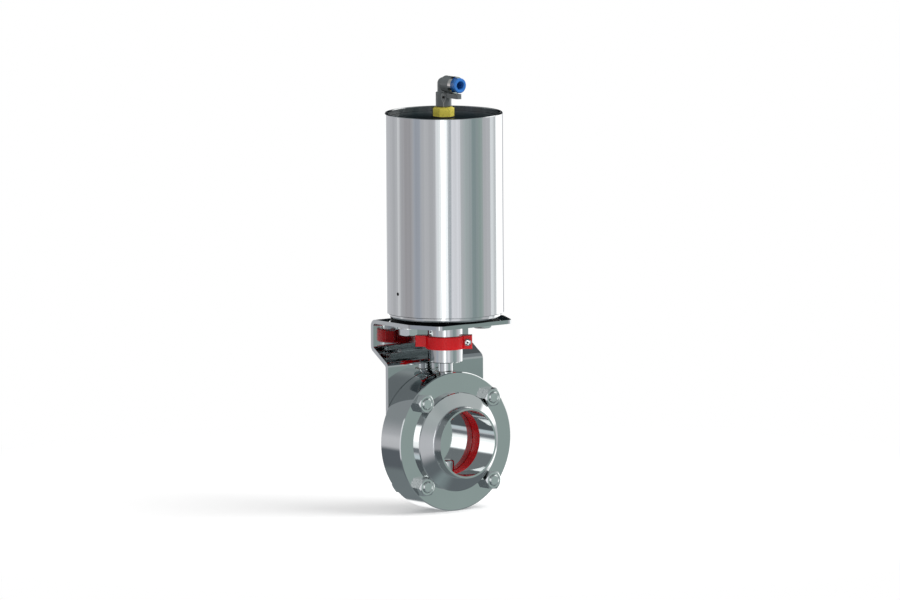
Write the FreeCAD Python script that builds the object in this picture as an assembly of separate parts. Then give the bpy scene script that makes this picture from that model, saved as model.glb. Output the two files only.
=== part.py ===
import FreeCAD, Part
import math
import os

# Pneumatic butterfly valve for sanitary pipe, closed, millimetres.
# The pipe runs along Y, the stem stands on Z, and the origin is the lowest point of the body flanges.

Vec = FreeCAD.Vector
AXIS_X = Vec(1, 0, 0)
AXIS_Y = Vec(0, 1, 0)
AXIS_Z = Vec(0, 0, 1)
TO_XZ = FreeCAD.Rotation(AXIS_X, 90)
TO_YZ = FreeCAD.Rotation(Vec(1, 1, 1), 120)

# Clearances
running_gap = 0.05
moving_gap = 0.3
fit_gap = 0.05
hole_gap = 0.2

# Pipe, body flanges and weld ends
pipe_bore_r = 25.0
pipe_wall = 1.5
face_to_face = 56.0
flange_r = 52.5
body_t = 24.0
nut_gap = 0.6
hub_step = 4.0
cone_rise = 4.2
neck_fillet = 1.4
edge_break = 0.6

# Seat ring, disc and stem
seat_width = 19.0
seat_depth = 6.0
seat_lip = 0.9
seat_pad_r = 8.6
disc_clear = 0.3
disc_t = 3.4
disc_boss_r = 6.2
disc_boss_len = 9.3
disc_boss_round = 2.5
stem_r = 5.7
trunnion_r = 4.5
trunnion_flat = 3.6
trunnion_len = 10.0
stem_tongue = 7.5
stem_grip = 14.0
bush_wall = 2.4
bush_recess = 1.2

# Body bolts
bolt_r = 4.0
bolt_flats = 13.0
hexagon_land = 0.46
bolt_head_t = 5.3
nut_t = 6.4
bolt_tip_show = 0.8
bolt_tip_bevel = 0.6
nut_mouth = 0.7
bolt_edge = 8.0
bolt_turn = 5.0
washer_t = 1.6
washer_r = 8.0

# Sheet bracket
sheet_t = 3.0
bend_inner_r = 2.2
bracket_width = 90.0
bracket_rise = 36.5
bracket_step_back = 18.0
step_low = 5.3
step_high = 16.8
plate_front = 38.5
plate_cut_x = 11.0
plate_cut_y = 24.5
plate_corner_r = 6.0
leg_drop = 32.5
hub_clearance = 0.8
bracket_bolt_inset = 9.45
bracket_bolt_grip = 19.0
plate_hole_gap = 2.5

# Drive coupling and indicator ring
neck_show = 6.9
coupling_r = 13.1
coupling_gap = 1.0
grub_r = 2.0
grub_drop = 6.5
grub_sunk = 0.85
ring_lift = 10.0
ring_height = 10.0
ring_wall = 1.7
ring_angle = -39.0
pointer_out = 7.45
pointer_width = 7.0
pointer_lift = 1.7
ear_out = 5.45
ear_width = 8.4
ear_slot = 1.4
clamp_screw_r = 1.5
clamp_head_r = 2.7
clamp_head_t = 1.8
clamp_screw_out = 2.15

# Actuator housing
tube_r = 44.45
tube_wall = 2.0
tube_length = 151.0
rim_break = 0.4
breather_r = 1.3
breather_lift = 17.0
lower_cap_t = 18.3
cap_show = 3.3
cap_edge_r = 1.6
boss_inset = 4.45
boss_t = 1.7
upper_cap_t = 12.3
upper_recess = 3.7
o_ring_t = 2.4
o_ring_height = 2.8
o_ring_break = 0.7
groove_height = 3.6
lock_wire = 1.6
lock_depth = 0.8
lower_seal_lift = 8.8
lower_lock_lift = 14.5
upper_lock_drop = 3.5
upper_seal_drop = 8.6

# Output shaft, guide sleeve, piston and spring
turn_degrees = 90.0
stroke = 40.0
journal_r = 10.0
shaft_bush_wall = 2.0
thrust_t = 1.5
thrust_r = 16.0
cam_r = 13.0
cam_wall = 4.5
cam_floor = 6.0
cam_rim = 8.0
pin_r = 4.0
piston_rest_gap = 0.5
crown_t = 5.0
crown_margin = 2.0
skirt_height = 20.5
skirt_wall = 6.15
piston_wall = 6.3
hub_below_pin = 7.0
seal_height = 4.0
seal_depth = 3.8
seal_drop = 8.0
band_height = 4.0
band_depth = 2.2
band_lift = 2.0
sleeve_wall = 4.0
sleeve_seat = 4.0
sleeve_margin = 1.5
spring_wire = 5.2
spring_turns = 7.0

# Air fitting
port_seal_t = 1.0
port_seal_r = 8.0
adaptor_flats = 14.0
adaptor_hex_t = 7.0
adaptor_thread_r = 6.5
adaptor_bore_r = 2.5
adaptor_stub_r = 4.0
adaptor_stub_t = 9.2
elbow_r = 6.0
elbow_stand = 11.0
elbow_top_r = 4.7
barrel_lift = 6.4
barrel_r = 6.25
barrel_back = 2.6
barrel_face = 13.0
barrel_floor = 4.5
duct_r = 2.0
collar_proud = 0.15
collar_t = 3.5
air_tube_r = 3.05
collet_r = 4.6
collet_head_r = 5.65
collet_head_t = 2.0
collet_throw = 1.5
collet_spare = 1.0
collet_tail = 10.5
socket_gap = 0.4
tube_seal_t = 2.4
grip_t = 0.4
grip_y = 8.6
bar_width = 4.6
bar_height = 3.5
bar_reach = 20.4
bar_drop = 0.45
bar_round = 2.05
dimple_r = 1.0
dimple_depth = 1.2
dimple_drop = 3.5
dimple_angle = -127.5

# Heights and places that follow
pipe_z = flange_r
flange_top = 2 * flange_r
half_body = body_t / 2
half_length = face_to_face / 2
neck_r = pipe_bore_r + pipe_wall
bolt_circle_r = flange_r - bolt_edge
bolt_offset = bolt_circle_r / math.sqrt(2)
hub_r = bolt_circle_r - bolt_flats / 2 - nut_gap
recess_r = pipe_bore_r + seat_depth
disc_r = pipe_bore_r - seat_lip - disc_clear
trunnion_end = pipe_z - recess_r - trunnion_len + moving_gap
coupling_bottom = flange_top + neck_show
plate_bottom = flange_top + bracket_rise
plate_top = plate_bottom + sheet_t
coupling_top = plate_bottom - coupling_gap
ring_inner_r = coupling_r + fit_gap
ring_outer_r = ring_inner_r + ring_wall
pointer_reach = ring_outer_r + pointer_out
ear_reach = ring_outer_r + ear_out
clamp_screw_reach = ring_outer_r + clamp_screw_out
bracket_bolt_x = tube_r - bracket_bolt_inset
boss_r = tube_r - boss_inset
lower_cap_bottom = plate_top + boss_t
lower_cap_top = lower_cap_bottom + lower_cap_t
tube_bottom = lower_cap_bottom + cap_show
tube_top = tube_bottom + tube_length
tube_bore_r = tube_r - tube_wall
cap_r = tube_bore_r - fit_gap
upper_cap_top = tube_top - upper_recess
upper_cap_bottom = upper_cap_top - upper_cap_t
thrust_top = lower_cap_top + thrust_t
piston_top = upper_cap_bottom - piston_rest_gap
crown_bottom = piston_top - crown_t
skirt_bottom = piston_top - skirt_height
piston_r = tube_bore_r - moving_gap
skirt_inner_r = piston_r - skirt_wall
shaft_top = crown_bottom - stroke - crown_margin
pin_z = shaft_top - cam_rim - pin_r - moving_gap
pin_low_z = pin_z - stroke
cam_bore_r = cam_r - cam_wall
slot_half = pin_r + moving_gap
hub_bore_r = cam_r + moving_gap
piston_hub_r = hub_bore_r + piston_wall
sleeve_bore_r = piston_hub_r + moving_gap
sleeve_r = sleeve_bore_r + sleeve_wall
sleeve_top = crown_bottom - stroke - sleeve_margin
spring_coil_r = (skirt_inner_r + sleeve_r) / 2
hex_bottom = upper_cap_top + port_seal_t
hex_top = hex_bottom + adaptor_hex_t
elbow_bottom = hex_top + moving_gap
elbow_shoulder = elbow_bottom + elbow_stand
barrel_z = elbow_shoulder + barrel_lift
collar_r = barrel_r + collar_proud
socket_r = collet_r + socket_gap
collar_face = barrel_face + collar_t
collet_back = collar_face + collet_throw + collet_spare
collet_face = collet_back + collet_head_t


def rounded_outline(corners, closed=True):
    """Straight runs joined at corners: (a, b) is sharp, (a, b, radius) round and (a, b, -size) bevelled."""
    count = len(corners)
    stops = []
    for index, corner in enumerate(corners):
        point = Vec(corner[0], corner[1], 0)
        at_end = not closed and index in (0, count - 1)
        if len(corner) < 3 or at_end:
            stops.append([point])
            continue
        radius = corner[2]
        before = corners[index - 1]
        after = corners[(index + 1) % count]
        to_last = (Vec(before[0], before[1], 0) - point).normalize()
        to_next = (Vec(after[0], after[1], 0) - point).normalize()
        if radius < 0:
            stops.append([point - to_last * radius, point - to_next * radius])
            continue
        half_angle = to_last.getAngle(to_next) / 2
        reach = radius / math.tan(half_angle)
        inward = (to_last + to_next).normalize()
        middle = point + inward * (radius / math.sin(half_angle) - radius)
        stops.append([point + to_last * reach, middle, point + to_next * reach])
    edges = []
    for index, stop in enumerate(stops):
        if len(stop) == 3:
            edges.append(Part.Arc(stop[0], stop[1], stop[2]).toShape())
        if len(stop) == 2:
            edges.append(Part.makeLine(stop[0], stop[1]))
        if index == count - 1 and not closed:
            break
        finish = stops[(index + 1) % count][0]
        if stop[-1].distanceToPoint(finish) > 1e-6:
            edges.append(Part.makeLine(stop[-1], finish))
    return Part.Wire(edges)


def turned_on_z(corners):
    """Solid of revolution about the stem axis from (radius, height) corners."""
    outline = rounded_outline(corners)
    outline.rotate(Vec(0, 0, 0), TO_XZ.Axis, math.degrees(TO_XZ.Angle))
    return Part.Face(outline).revolve(Vec(0, 0, 0), AXIS_Z, 360)


def turned_on_pipe(corners):
    """Solid of revolution about the pipe axis from (radius, y) corners."""
    solid = Part.Face(rounded_outline(corners)).revolve(Vec(0, 0, 0), AXIS_Y, 360)
    return solid.translated(Vec(0, 0, pipe_z))


def ring_on_z(inner, outer, bottom, top):
    return turned_on_z([(inner, bottom), (outer, bottom), (outer, top), (inner, top)])


def rod_on_z(radius, bottom, top, x=0.0, y=0.0):
    return Part.makeCylinder(radius, top - bottom, Vec(x, y, bottom), AXIS_Z)


def rod_on_y(radius, start, finish, x=0.0, z=0.0):
    return Part.makeCylinder(radius, finish - start, Vec(x, start, z), AXIS_Y)


def ring_on_y(inner, outer, start, finish, z):
    return rod_on_y(outer, start, finish, 0, z).cut(rod_on_y(inner, start, finish, 0, z))


def hexagon(flats, height, turn=0.0):
    """Upright hexagon bar with its upper corners turned off at 30 degrees."""
    corner_r = flats / math.sqrt(3)
    points = []
    for index in range(7):
        angle = math.radians(60 * index + turn)
        points.append(Vec(corner_r * math.cos(angle), corner_r * math.sin(angle), 0))
    bar = Part.Face(Part.makePolygon(points)).extrude(Vec(0, 0, height))
    flat_r = flats * hexagon_land
    slope = (corner_r - flat_r) * math.tan(math.radians(30))
    lathe = turned_on_z([(0, 0), (corner_r, 0), (corner_r, height - slope), (flat_r, height), (0, height)])
    return bar.common(lathe)


def body_hexagon(height, x, y, z, towards):
    """Hexagon laid along Y, turned a little so that no corner reaches the hub beside it."""
    turn = -bolt_turn * towards * math.copysign(1, x * (z - pipe_z))
    bar = hexagon(bolt_flats, height, turn)
    bar.rotate(Vec(0, 0, 0), AXIS_X, -90 * towards)
    return bar.translated(Vec(x, y, z))


def one_solid(shape):
    """The single solid of a boolean result, with split faces joined."""
    solid = shape.removeSplitter()
    return solid.Solids[0] if len(solid.Solids) == 1 else solid


def bolt_places(upper):
    side = 1 if upper else -1
    return [(x, pipe_z + side * bolt_offset) for x in (-bolt_offset, bolt_offset)]


def stem_bore():
    """Room for both stem bushes, from the seat recess to the top and to the blind lower end."""
    upper_r = stem_r + running_gap + bush_wall
    lower_r = trunnion_r + running_gap + bush_wall
    upper = rod_on_z(upper_r, pipe_z + pipe_bore_r, flange_top + bush_wall)
    lower = rod_on_z(lower_r, pipe_z - recess_r - trunnion_len, pipe_z - pipe_bore_r)
    return upper.fuse(lower)


def body_flange(front):
    """One half of the split body: flange, stepped hub, cone and thin weld end."""
    cone_y = half_body + hub_step + cone_rise
    corners = [
        (recess_r, 0),
        (flange_r, 0),
        (flange_r, half_body, -edge_break),
        (hub_r, half_body),
        (hub_r, half_body + hub_step, -edge_break),
        (neck_r, cone_y, neck_fillet),
        (neck_r, half_length),
        (pipe_bore_r, half_length),
        (pipe_bore_r, seat_width / 2),
        (recess_r, seat_width / 2),
    ]
    side = -1 if front else 1
    half = turned_on_pipe([(c[0], side * c[1]) + tuple(c[2:]) for c in corners])
    for upper in (True, False):
        for x, z in bolt_places(upper):
            half = half.cut(rod_on_y(bolt_r + hole_gap, -half_length, half_length, x, z))
    return one_solid(half.cut(stem_bore()))


def seat_ring():
    """Silicone seat: plain back, flush side faces, a rounded crown and a pad at each stem hole."""
    half = seat_width / 2
    back = [Vec(pipe_bore_r, half, 0), Vec(recess_r, half, 0), Vec(recess_r, -half, 0), Vec(pipe_bore_r, -half, 0)]
    crown = Part.Arc(back[3], Vec(pipe_bore_r - seat_lip, 0, 0), back[0]).toShape()
    outline = Part.Wire(Part.makePolygon(back).Edges + [crown])
    ring = Part.Face(outline).revolve(Vec(0, 0, 0), AXIS_Y, 360).translated(Vec(0, 0, pipe_z))
    crown_r = pipe_bore_r - seat_lip
    ring = ring.fuse(rod_on_z(seat_pad_r, pipe_z + crown_r, pipe_z + pipe_bore_r))
    ring = ring.fuse(rod_on_z(seat_pad_r, pipe_z - pipe_bore_r, pipe_z - crown_r))
    upper_hole = rod_on_z(stem_r + 2 * running_gap, pipe_z, flange_top)
    lower_hole = rod_on_z(trunnion_r + 2 * running_gap, 0, pipe_z)
    return one_solid(ring.cut(upper_hole).cut(lower_hole))


def flatted_rod(radius, flat, bottom, top):
    """Round rod with two flats facing along Y."""
    flats = Part.makeBox(4 * radius, 2 * flat, top - bottom, Vec(-2 * radius, -flat, bottom))
    return rod_on_z(radius, bottom, top).common(flats)


def butterfly_disc():
    """Flat plate with a boss at each end of the stem axis and the lower trunnion in one piece.

    All but the trunnion lies inside one sphere, so that the disc can turn in the seat.
    """
    plate = rod_on_y(disc_r, -disc_t / 2, disc_t / 2, 0, pipe_z)
    for side in (-1, 1):
        inner_end = pipe_z + side * (disc_r - disc_boss_len)
        outer_end = pipe_z + side * disc_r
        plate = plate.fuse(turned_on_z([
            (0, inner_end),
            (disc_boss_r, inner_end, disc_boss_round),
            (disc_boss_r, outer_end),
            (0, outer_end),
        ]))
    disc = plate.common(Part.makeSphere(disc_r, Vec(0, 0, pipe_z)))
    disc = disc.fuse(rod_on_z(trunnion_r, trunnion_end, pipe_z - disc_r + disc_boss_round))
    socket_floor = pipe_z + disc_r - stem_tongue
    socket = flatted_rod(trunnion_r + fit_gap, trunnion_flat + fit_gap, socket_floor, pipe_z + disc_r)
    return one_solid(disc.cut(socket))


def valve_stem():
    """Round stem between two tongues with flats: the lower one in the disc, the upper one in the coupling."""
    shoulder = pipe_z + disc_r + disc_clear / 2
    stem = rod_on_z(stem_r, shoulder, coupling_bottom)
    upper_tongue = flatted_rod(stem_r, trunnion_flat, coupling_bottom, coupling_bottom + stem_grip)
    lower_tongue = flatted_rod(trunnion_r, trunnion_flat, pipe_z + disc_r - stem_tongue, shoulder)
    return one_solid(stem.fuse(upper_tongue).fuse(lower_tongue))


def upper_stem_bush():
    bore = stem_r + running_gap
    return ring_on_z(bore, bore + bush_wall, pipe_z + recess_r, flange_top - bush_recess)


def lower_stem_bush():
    bore = trunnion_r + running_gap
    return ring_on_z(bore, bore + bush_wall, pipe_z - recess_r - trunnion_len, pipe_z - recess_r)


def body_bolts(upper):
    """Bolts from the rear; the upper pair also clamps the bracket leg."""
    seat_y = half_body + (sheet_t if upper else 0)
    tip_y = -(half_body + nut_t + bolt_tip_show)
    bolts = []
    for x, z in bolt_places(upper):
        head = body_hexagon(bolt_head_t, x, seat_y, z, 1)
        shank = rod_on_y(bolt_r, tip_y + bolt_tip_bevel, seat_y, x, z)
        tip = Part.makeCone(bolt_r - bolt_tip_bevel, bolt_r, bolt_tip_bevel, Vec(x, tip_y, z), AXIS_Y)
        bolts.append(one_solid(head.fuse(shank).fuse(tip)))
    return bolts


def body_nuts():
    """Hexagon nuts on the front face, each with a countersunk mouth round its bolt tip."""
    nuts = []
    face_y = -(half_body + nut_t)
    for x, z in bolt_places(True) + bolt_places(False):
        nut = body_hexagon(nut_t, x, -half_body, z, -1).cut(rod_on_y(bolt_r, face_y, 0, x, z))
        mouth = Part.makeCone(bolt_r + nut_mouth, bolt_r, nut_mouth, Vec(x, face_y, z), AXIS_Y)
        nuts.append(one_solid(nut.cut(mouth)))
    return nuts


def bracket_section():
    """Side view of the bent sheet, as (y, z): leg, slanted step, upright and top plate."""
    leg_y = half_body + sheet_t
    back_y = leg_y + bracket_step_back
    outer = [
        (leg_y, flange_top - leg_drop),
        (leg_y, flange_top + step_low),
        (back_y, flange_top + step_high),
        (back_y, plate_top),
        (-plate_front, plate_top),
    ]
    inner = []
    for index, point in enumerate(outer):
        here = Vec(point[0], point[1], 0)
        normals = []
        for first in (index - 1, index):
            if 0 <= first < len(outer) - 1:
                run = Vec(*outer[first + 1], 0) - Vec(*outer[first], 0)
                normals.append(Vec(-run.y, run.x, 0).normalize())
        if len(normals) == 1:
            inner.append(here + normals[0] * sheet_t)
        else:
            shared = normals[0] + normals[1]
            inner.append(here + shared * (sheet_t / (1 + normals[0].dot(normals[1]))))
    outer_radii = [0, bend_inner_r, bend_inner_r + sheet_t, bend_inner_r + sheet_t, 0]
    inner_radii = [0, bend_inner_r + sheet_t, bend_inner_r, bend_inner_r, 0]
    corners = []
    for point, radius in zip(outer, outer_radii):
        corners.append((point[0], point[1], radius) if radius else point)
    for point, radius in reversed(list(zip(inner, inner_radii))):
        corners.append((point.x, point.y, radius) if radius else (point.x, point.y))
    return corners


def mounting_bracket():
    """Bent sheet with cut front corners, an arch round the rear hub and its bolt holes."""
    outline = rounded_outline(bracket_section())
    outline.rotate(Vec(0, 0, 0), TO_YZ.Axis, math.degrees(TO_YZ.Angle))
    half = bracket_width / 2
    sheet = Part.Face(outline).extrude(AXIS_X * bracket_width).translated(Vec(-half, 0, 0))
    rear = half_body + 2 * sheet_t + bracket_step_back
    plan = [
        (-half, rear),
        (half, rear),
        (half, plate_cut_y - plate_front, plate_corner_r),
        (half - plate_cut_x, -plate_front, plate_corner_r),
        (plate_cut_x - half, -plate_front, plate_corner_r),
        (-half, plate_cut_y - plate_front, plate_corner_r),
    ]
    blank = Part.Face(rounded_outline(plan)).extrude(AXIS_Z * 2 * plate_top)
    sheet = sheet.common(blank)
    sheet = sheet.cut(rod_on_y(hub_r + hub_clearance, 0, rear, 0, pipe_z))
    for x, z in bolt_places(True):
        sheet = sheet.cut(rod_on_y(bolt_r + hole_gap, 0, rear, x, z))
    for x in (-bracket_bolt_x, bracket_bolt_x):
        sheet = sheet.cut(rod_on_z(bolt_r + hole_gap, flange_top, 2 * plate_top, x))
    return one_solid(sheet.cut(rod_on_z(journal_r + plate_hole_gap, flange_top, 2 * plate_top)))


def bracket_bolts():
    bolts = []
    seat_z = plate_bottom - washer_t
    for x in (-bracket_bolt_x, bracket_bolt_x):
        head = hexagon(bolt_flats, bolt_head_t)
        head.rotate(Vec(0, 0, 0), AXIS_X, 180)
        head.translate(Vec(x, 0, seat_z))
        shank = rod_on_z(bolt_r, seat_z, plate_bottom + bracket_bolt_grip, x)
        bolts.append(one_solid(head.fuse(shank)))
    return bolts


def bracket_washers():
    washers = []
    for x in (-bracket_bolt_x, bracket_bolt_x):
        washer = ring_on_z(bolt_r + hole_gap, washer_r, plate_bottom - washer_t, plate_bottom)
        washers.append(washer.translated(Vec(x, 0, 0)))
    return washers


def drive_coupling():
    """Round coupling: flatted bore for the stem below, plain bore for the output shaft above."""
    shaft_floor = coupling_bottom + stem_grip + coupling_gap
    body = turned_on_z([
        (0, coupling_bottom),
        (coupling_r, coupling_bottom, -edge_break),
        (coupling_r, coupling_top, -edge_break),
        (0, coupling_top),
    ])
    body = body.cut(flatted_rod(stem_r + fit_gap, trunnion_flat + fit_gap, coupling_bottom, shaft_floor))
    body = body.cut(rod_on_z(journal_r + fit_gap, shaft_floor, coupling_top))
    grub_z = coupling_top - grub_drop
    return one_solid(body.cut(Part.makeCylinder(grub_r, coupling_r, Vec(0, 0, grub_z), -AXIS_X)))


def coupling_grub_screw():
    start = journal_r + fit_gap
    length = coupling_r - grub_sunk - start
    return Part.makeCylinder(grub_r, length, Vec(-start, 0, coupling_top - grub_drop), -AXIS_X)


def indicator_ring():
    """Clamp ring with a pointer lug on one side and a split pair of ears on the other."""
    bottom = coupling_bottom + ring_lift
    top = bottom + ring_height
    band = turned_on_z([
        (0, bottom),
        (ring_outer_r, bottom, -edge_break),
        (ring_outer_r, top, -edge_break),
        (0, top),
    ])
    lug_z = bottom + pointer_lift
    pointer_plan = [
        (-pointer_reach, -pointer_width / 2, edge_break),
        (0, -pointer_width / 2),
        (0, pointer_width / 2),
        (-pointer_reach, pointer_width / 2, edge_break),
    ]
    pointer = Part.Face(rounded_outline(pointer_plan)).extrude(AXIS_Z * (top - lug_z))
    ear_plan = [
        (0, -ear_width / 2),
        (ear_reach, -ear_width / 2, edge_break),
        (ear_reach, ear_width / 2, edge_break),
        (0, ear_width / 2),
    ]
    ears = Part.Face(rounded_outline(ear_plan)).extrude(AXIS_Z * ring_height)
    ring = band.fuse(pointer.translated(Vec(0, 0, lug_z))).fuse(ears.translated(Vec(0, 0, bottom)))
    ring = ring.cut(rod_on_z(ring_inner_r, bottom, top))
    ring = ring.cut(Part.makeBox(ear_reach, ear_slot, ring_height, Vec(0, -ear_slot / 2, bottom)))
    middle = bottom + ring_height / 2
    ring = ring.cut(rod_on_y(clamp_screw_r, -ear_width, ear_width, clamp_screw_reach, middle))
    ring.rotate(Vec(0, 0, 0), AXIS_Z, ring_angle)
    return one_solid(ring)


def indicator_screw():
    middle = coupling_bottom + ring_lift + ring_height / 2
    face = -ear_width / 2
    shank = rod_on_y(clamp_screw_r, face, ear_width / 2, clamp_screw_reach, middle)
    head = rod_on_y(clamp_head_r, face - clamp_head_t, face, clamp_screw_reach, middle)
    screw = one_solid(shank.fuse(head))
    screw.rotate(Vec(0, 0, 0), AXIS_Z, ring_angle)
    return screw


def lock_ring(height):
    inner = cap_r - lock_depth
    return ring_on_z(inner, inner + lock_wire, height, height + lock_wire)


def seal_groove(height):
    half = groove_height / 2
    return ring_on_z(cap_r - o_ring_t, tube_r, height - half, height + half)


def cap_o_rings():
    """Both cap seals in their squeezed shape: flat at the groove floor and at the tube wall."""
    rings = []
    for height in (lower_cap_bottom + lower_seal_lift, upper_cap_top - upper_seal_drop):
        rings.append(turned_on_z([
            (cap_r - o_ring_t, height - o_ring_height / 2, -o_ring_break),
            (cap_r, height - o_ring_height / 2, -o_ring_break),
            (cap_r, height + o_ring_height / 2, -o_ring_break),
            (cap_r - o_ring_t, height + o_ring_height / 2, -o_ring_break),
        ]))
    return rings


def lower_lock_z():
    return lower_cap_bottom + lower_lock_lift


def upper_lock_z():
    return upper_cap_top - upper_lock_drop - lock_wire


def actuator_tube():
    """Plain tube with broken rims, two lock grooves inside and one breather hole."""
    tube = turned_on_z([
        (tube_bore_r, tube_bottom, -rim_break),
        (tube_r, tube_bottom, -rim_break),
        (tube_r, tube_top, -rim_break),
        (tube_bore_r, tube_top, -rim_break),
    ])
    for height in (lower_lock_z(), upper_lock_z()):
        tube = tube.cut(lock_ring(height))
    start = Vec(0, 0, tube_bottom + breather_lift)
    return one_solid(tube.cut(Part.makeCylinder(breather_r, 2 * tube_r, start, -AXIS_X)))


def lower_cap():
    """Base of the cylinder: seating boss, shaft bore, sleeve seat, threaded holes and seal groove."""
    cap = turned_on_z([
        (0, plate_top),
        (boss_r, plate_top),
        (boss_r, lower_cap_bottom),
        (cap_r, lower_cap_bottom, cap_edge_r),
        (cap_r, lower_cap_top),
        (0, lower_cap_top),
    ])
    cap = cap.cut(rod_on_z(journal_r + running_gap + shaft_bush_wall, plate_top, lower_cap_top))
    cap = cap.cut(ring_on_z(sleeve_bore_r, sleeve_r, lower_cap_top - sleeve_seat, lower_cap_top))
    cap = cap.cut(seal_groove(lower_cap_bottom + lower_seal_lift))
    cap = cap.cut(lock_ring(lower_lock_z()))
    for x in (-bracket_bolt_x, bracket_bolt_x):
        cap = cap.cut(rod_on_z(bolt_r, plate_top, plate_bottom + bracket_bolt_grip + moving_gap, x))
    return one_solid(cap)


def upper_cap():
    cap = turned_on_z([
        (adaptor_thread_r, upper_cap_bottom),
        (cap_r, upper_cap_bottom, -edge_break),
        (cap_r, upper_cap_top, -edge_break),
        (adaptor_thread_r, upper_cap_top),
    ])
    cap = cap.cut(seal_groove(upper_cap_top - upper_seal_drop))
    return one_solid(cap.cut(lock_ring(upper_lock_z())))


def shaft_bush():
    bore = journal_r + running_gap
    return ring_on_z(bore, bore + shaft_bush_wall, plate_top, lower_cap_top)


def thrust_washer():
    return ring_on_z(journal_r + moving_gap, thrust_r, lower_cap_top, thrust_top)


def guide_sleeve():
    """Fixed sleeve whose two straight slots keep the cross pin from turning."""
    sleeve = ring_on_z(sleeve_bore_r, sleeve_r, lower_cap_top - sleeve_seat, sleeve_top)
    slot = Part.makeBox(4 * sleeve_r, 2 * slot_half, stroke, Vec(-2 * sleeve_r, -slot_half, pin_low_z))
    for height in (pin_low_z, pin_z):
        slot = slot.fuse(Part.makeCylinder(slot_half, 4 * sleeve_r, Vec(-2 * sleeve_r, 0, height), AXIS_X))
    return one_solid(sleeve.cut(slot))


def helical_slots():
    """Screw-shaped cut for both cam slots: a flat bar swept up a quarter turn over the stroke."""
    lead = stroke * 360 / turn_degrees
    slope = math.atan(lead / (2 * math.pi * cam_r))
    width = 2 * (pin_r / math.sin(slope) + moving_gap)
    reach = cam_r + cam_wall
    height = stroke + 2 * slot_half
    helix = Part.Wire(Part.makeHelix(lead, height, cam_r))
    bar = rounded_outline([(-reach, -width / 2), (reach, -width / 2), (reach, width / 2), (-reach, width / 2)])
    cut = helix.makePipeShell([bar], True, True)
    low_angle = (pin_low_z - slot_half - pin_z) * 360 / lead
    cut.rotate(Vec(0, 0, 0), AXIS_Z, low_angle)
    return cut.translated(Vec(0, 0, pin_low_z - slot_half))


def output_shaft():
    """Journal below, hollow cam above with two helical slots that turn it as the pin comes down."""
    shaft_floor = coupling_bottom + stem_grip + coupling_gap + moving_gap
    cam_base = thrust_top + running_gap
    shaft = turned_on_z([
        (0, shaft_floor),
        (journal_r, shaft_floor, -edge_break),
        (journal_r, cam_base),
        (cam_r, cam_base),
        (cam_r, shaft_top, -edge_break),
        (0, shaft_top),
    ])
    bore_floor = pin_low_z - slot_half - cam_floor
    shaft = shaft.cut(rod_on_z(cam_bore_r, bore_floor, shaft_top))
    return one_solid(shaft.cut(helical_slots()))


def piston_groove(bottom, height, depth):
    return ring_on_z(piston_r - depth, tube_r, bottom, bottom + height)


def piston():
    """Cup piston: crown, skirt with two grooves and a long hub that takes the cam shaft."""
    hub_bottom = pin_z - hub_below_pin
    fillet = crown_t / 2
    body = turned_on_z([
        (0, piston_top),
        (piston_r, piston_top, -edge_break),
        (piston_r, skirt_bottom, -edge_break),
        (skirt_inner_r, skirt_bottom, -edge_break),
        (skirt_inner_r, crown_bottom, fillet),
        (piston_hub_r, crown_bottom, fillet),
        (piston_hub_r, hub_bottom, -edge_break),
        (hub_bore_r, hub_bottom, -edge_break),
        (hub_bore_r, crown_bottom),
        (0, crown_bottom),
    ])
    body = body.cut(piston_groove(piston_top - seal_drop, seal_height, seal_depth))
    body = body.cut(piston_groove(skirt_bottom + band_lift, band_height, band_depth))
    hole = Part.makeCylinder(pin_r, 4 * sleeve_r, Vec(-2 * sleeve_r, 0, pin_z), AXIS_X)
    return one_solid(body.cut(hole))


def piston_seal():
    """Lip seal: full-height heel in the groove and a lip that runs on the tube wall."""
    floor_r = piston_r - seal_depth
    lip_r = tube_bore_r - running_gap
    bottom = piston_top - seal_drop
    top = bottom + seal_height
    return turned_on_z([
        (floor_r, bottom),
        (lip_r - moving_gap, bottom),
        (lip_r, top - seal_height / 3),
        (lip_r, top),
        (floor_r, top),
    ])


def piston_guide_band():
    floor_r = piston_r - band_depth
    bottom = skirt_bottom + band_lift
    return ring_on_z(floor_r, tube_bore_r - running_gap, bottom, bottom + band_height)


def cross_pin():
    half = sleeve_r - moving_gap
    return Part.makeCylinder(pin_r, 2 * half, Vec(-half, 0, pin_z), AXIS_X)


def return_spring():
    """Spring coiled from square wire, its ends ground flat on the lower cap and the piston crown."""
    length = crown_bottom - lower_cap_top
    pitch = length / spring_turns
    helix = Part.Wire(Part.makeHelix(pitch, length, spring_coil_r))
    inner = spring_coil_r - spring_wire / 2
    outer = spring_coil_r + spring_wire / 2
    corners = [(inner, -1), (outer, -1), (outer, 1), (inner, 1), (inner, -1)]
    section = Part.makePolygon([Vec(radius, 0, side * spring_wire / 2) for radius, side in corners])
    coil = helix.makePipeShell([section], True, True).translated(Vec(0, 0, lower_cap_top))
    ground = rod_on_z(2 * spring_coil_r, lower_cap_top, crown_bottom)
    return one_solid(coil.common(ground))


def port_seal():
    return ring_on_z(adaptor_thread_r + hole_gap, port_seal_r, upper_cap_top, hex_bottom)


def brass_adaptor():
    """Threaded shank, hexagon and the stub on which the elbow swivels."""
    shank = rod_on_z(adaptor_thread_r, upper_cap_bottom + port_seal_t, hex_bottom)
    head = hexagon(adaptor_flats, adaptor_hex_t, 30).translated(Vec(0, 0, hex_bottom))
    stub_top = elbow_bottom + adaptor_stub_t
    stub = rod_on_z(adaptor_stub_r, hex_top, stub_top)
    body = shank.fuse(head).fuse(stub)
    return one_solid(body.cut(rod_on_z(adaptor_bore_r, upper_cap_bottom, stub_top)))


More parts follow.
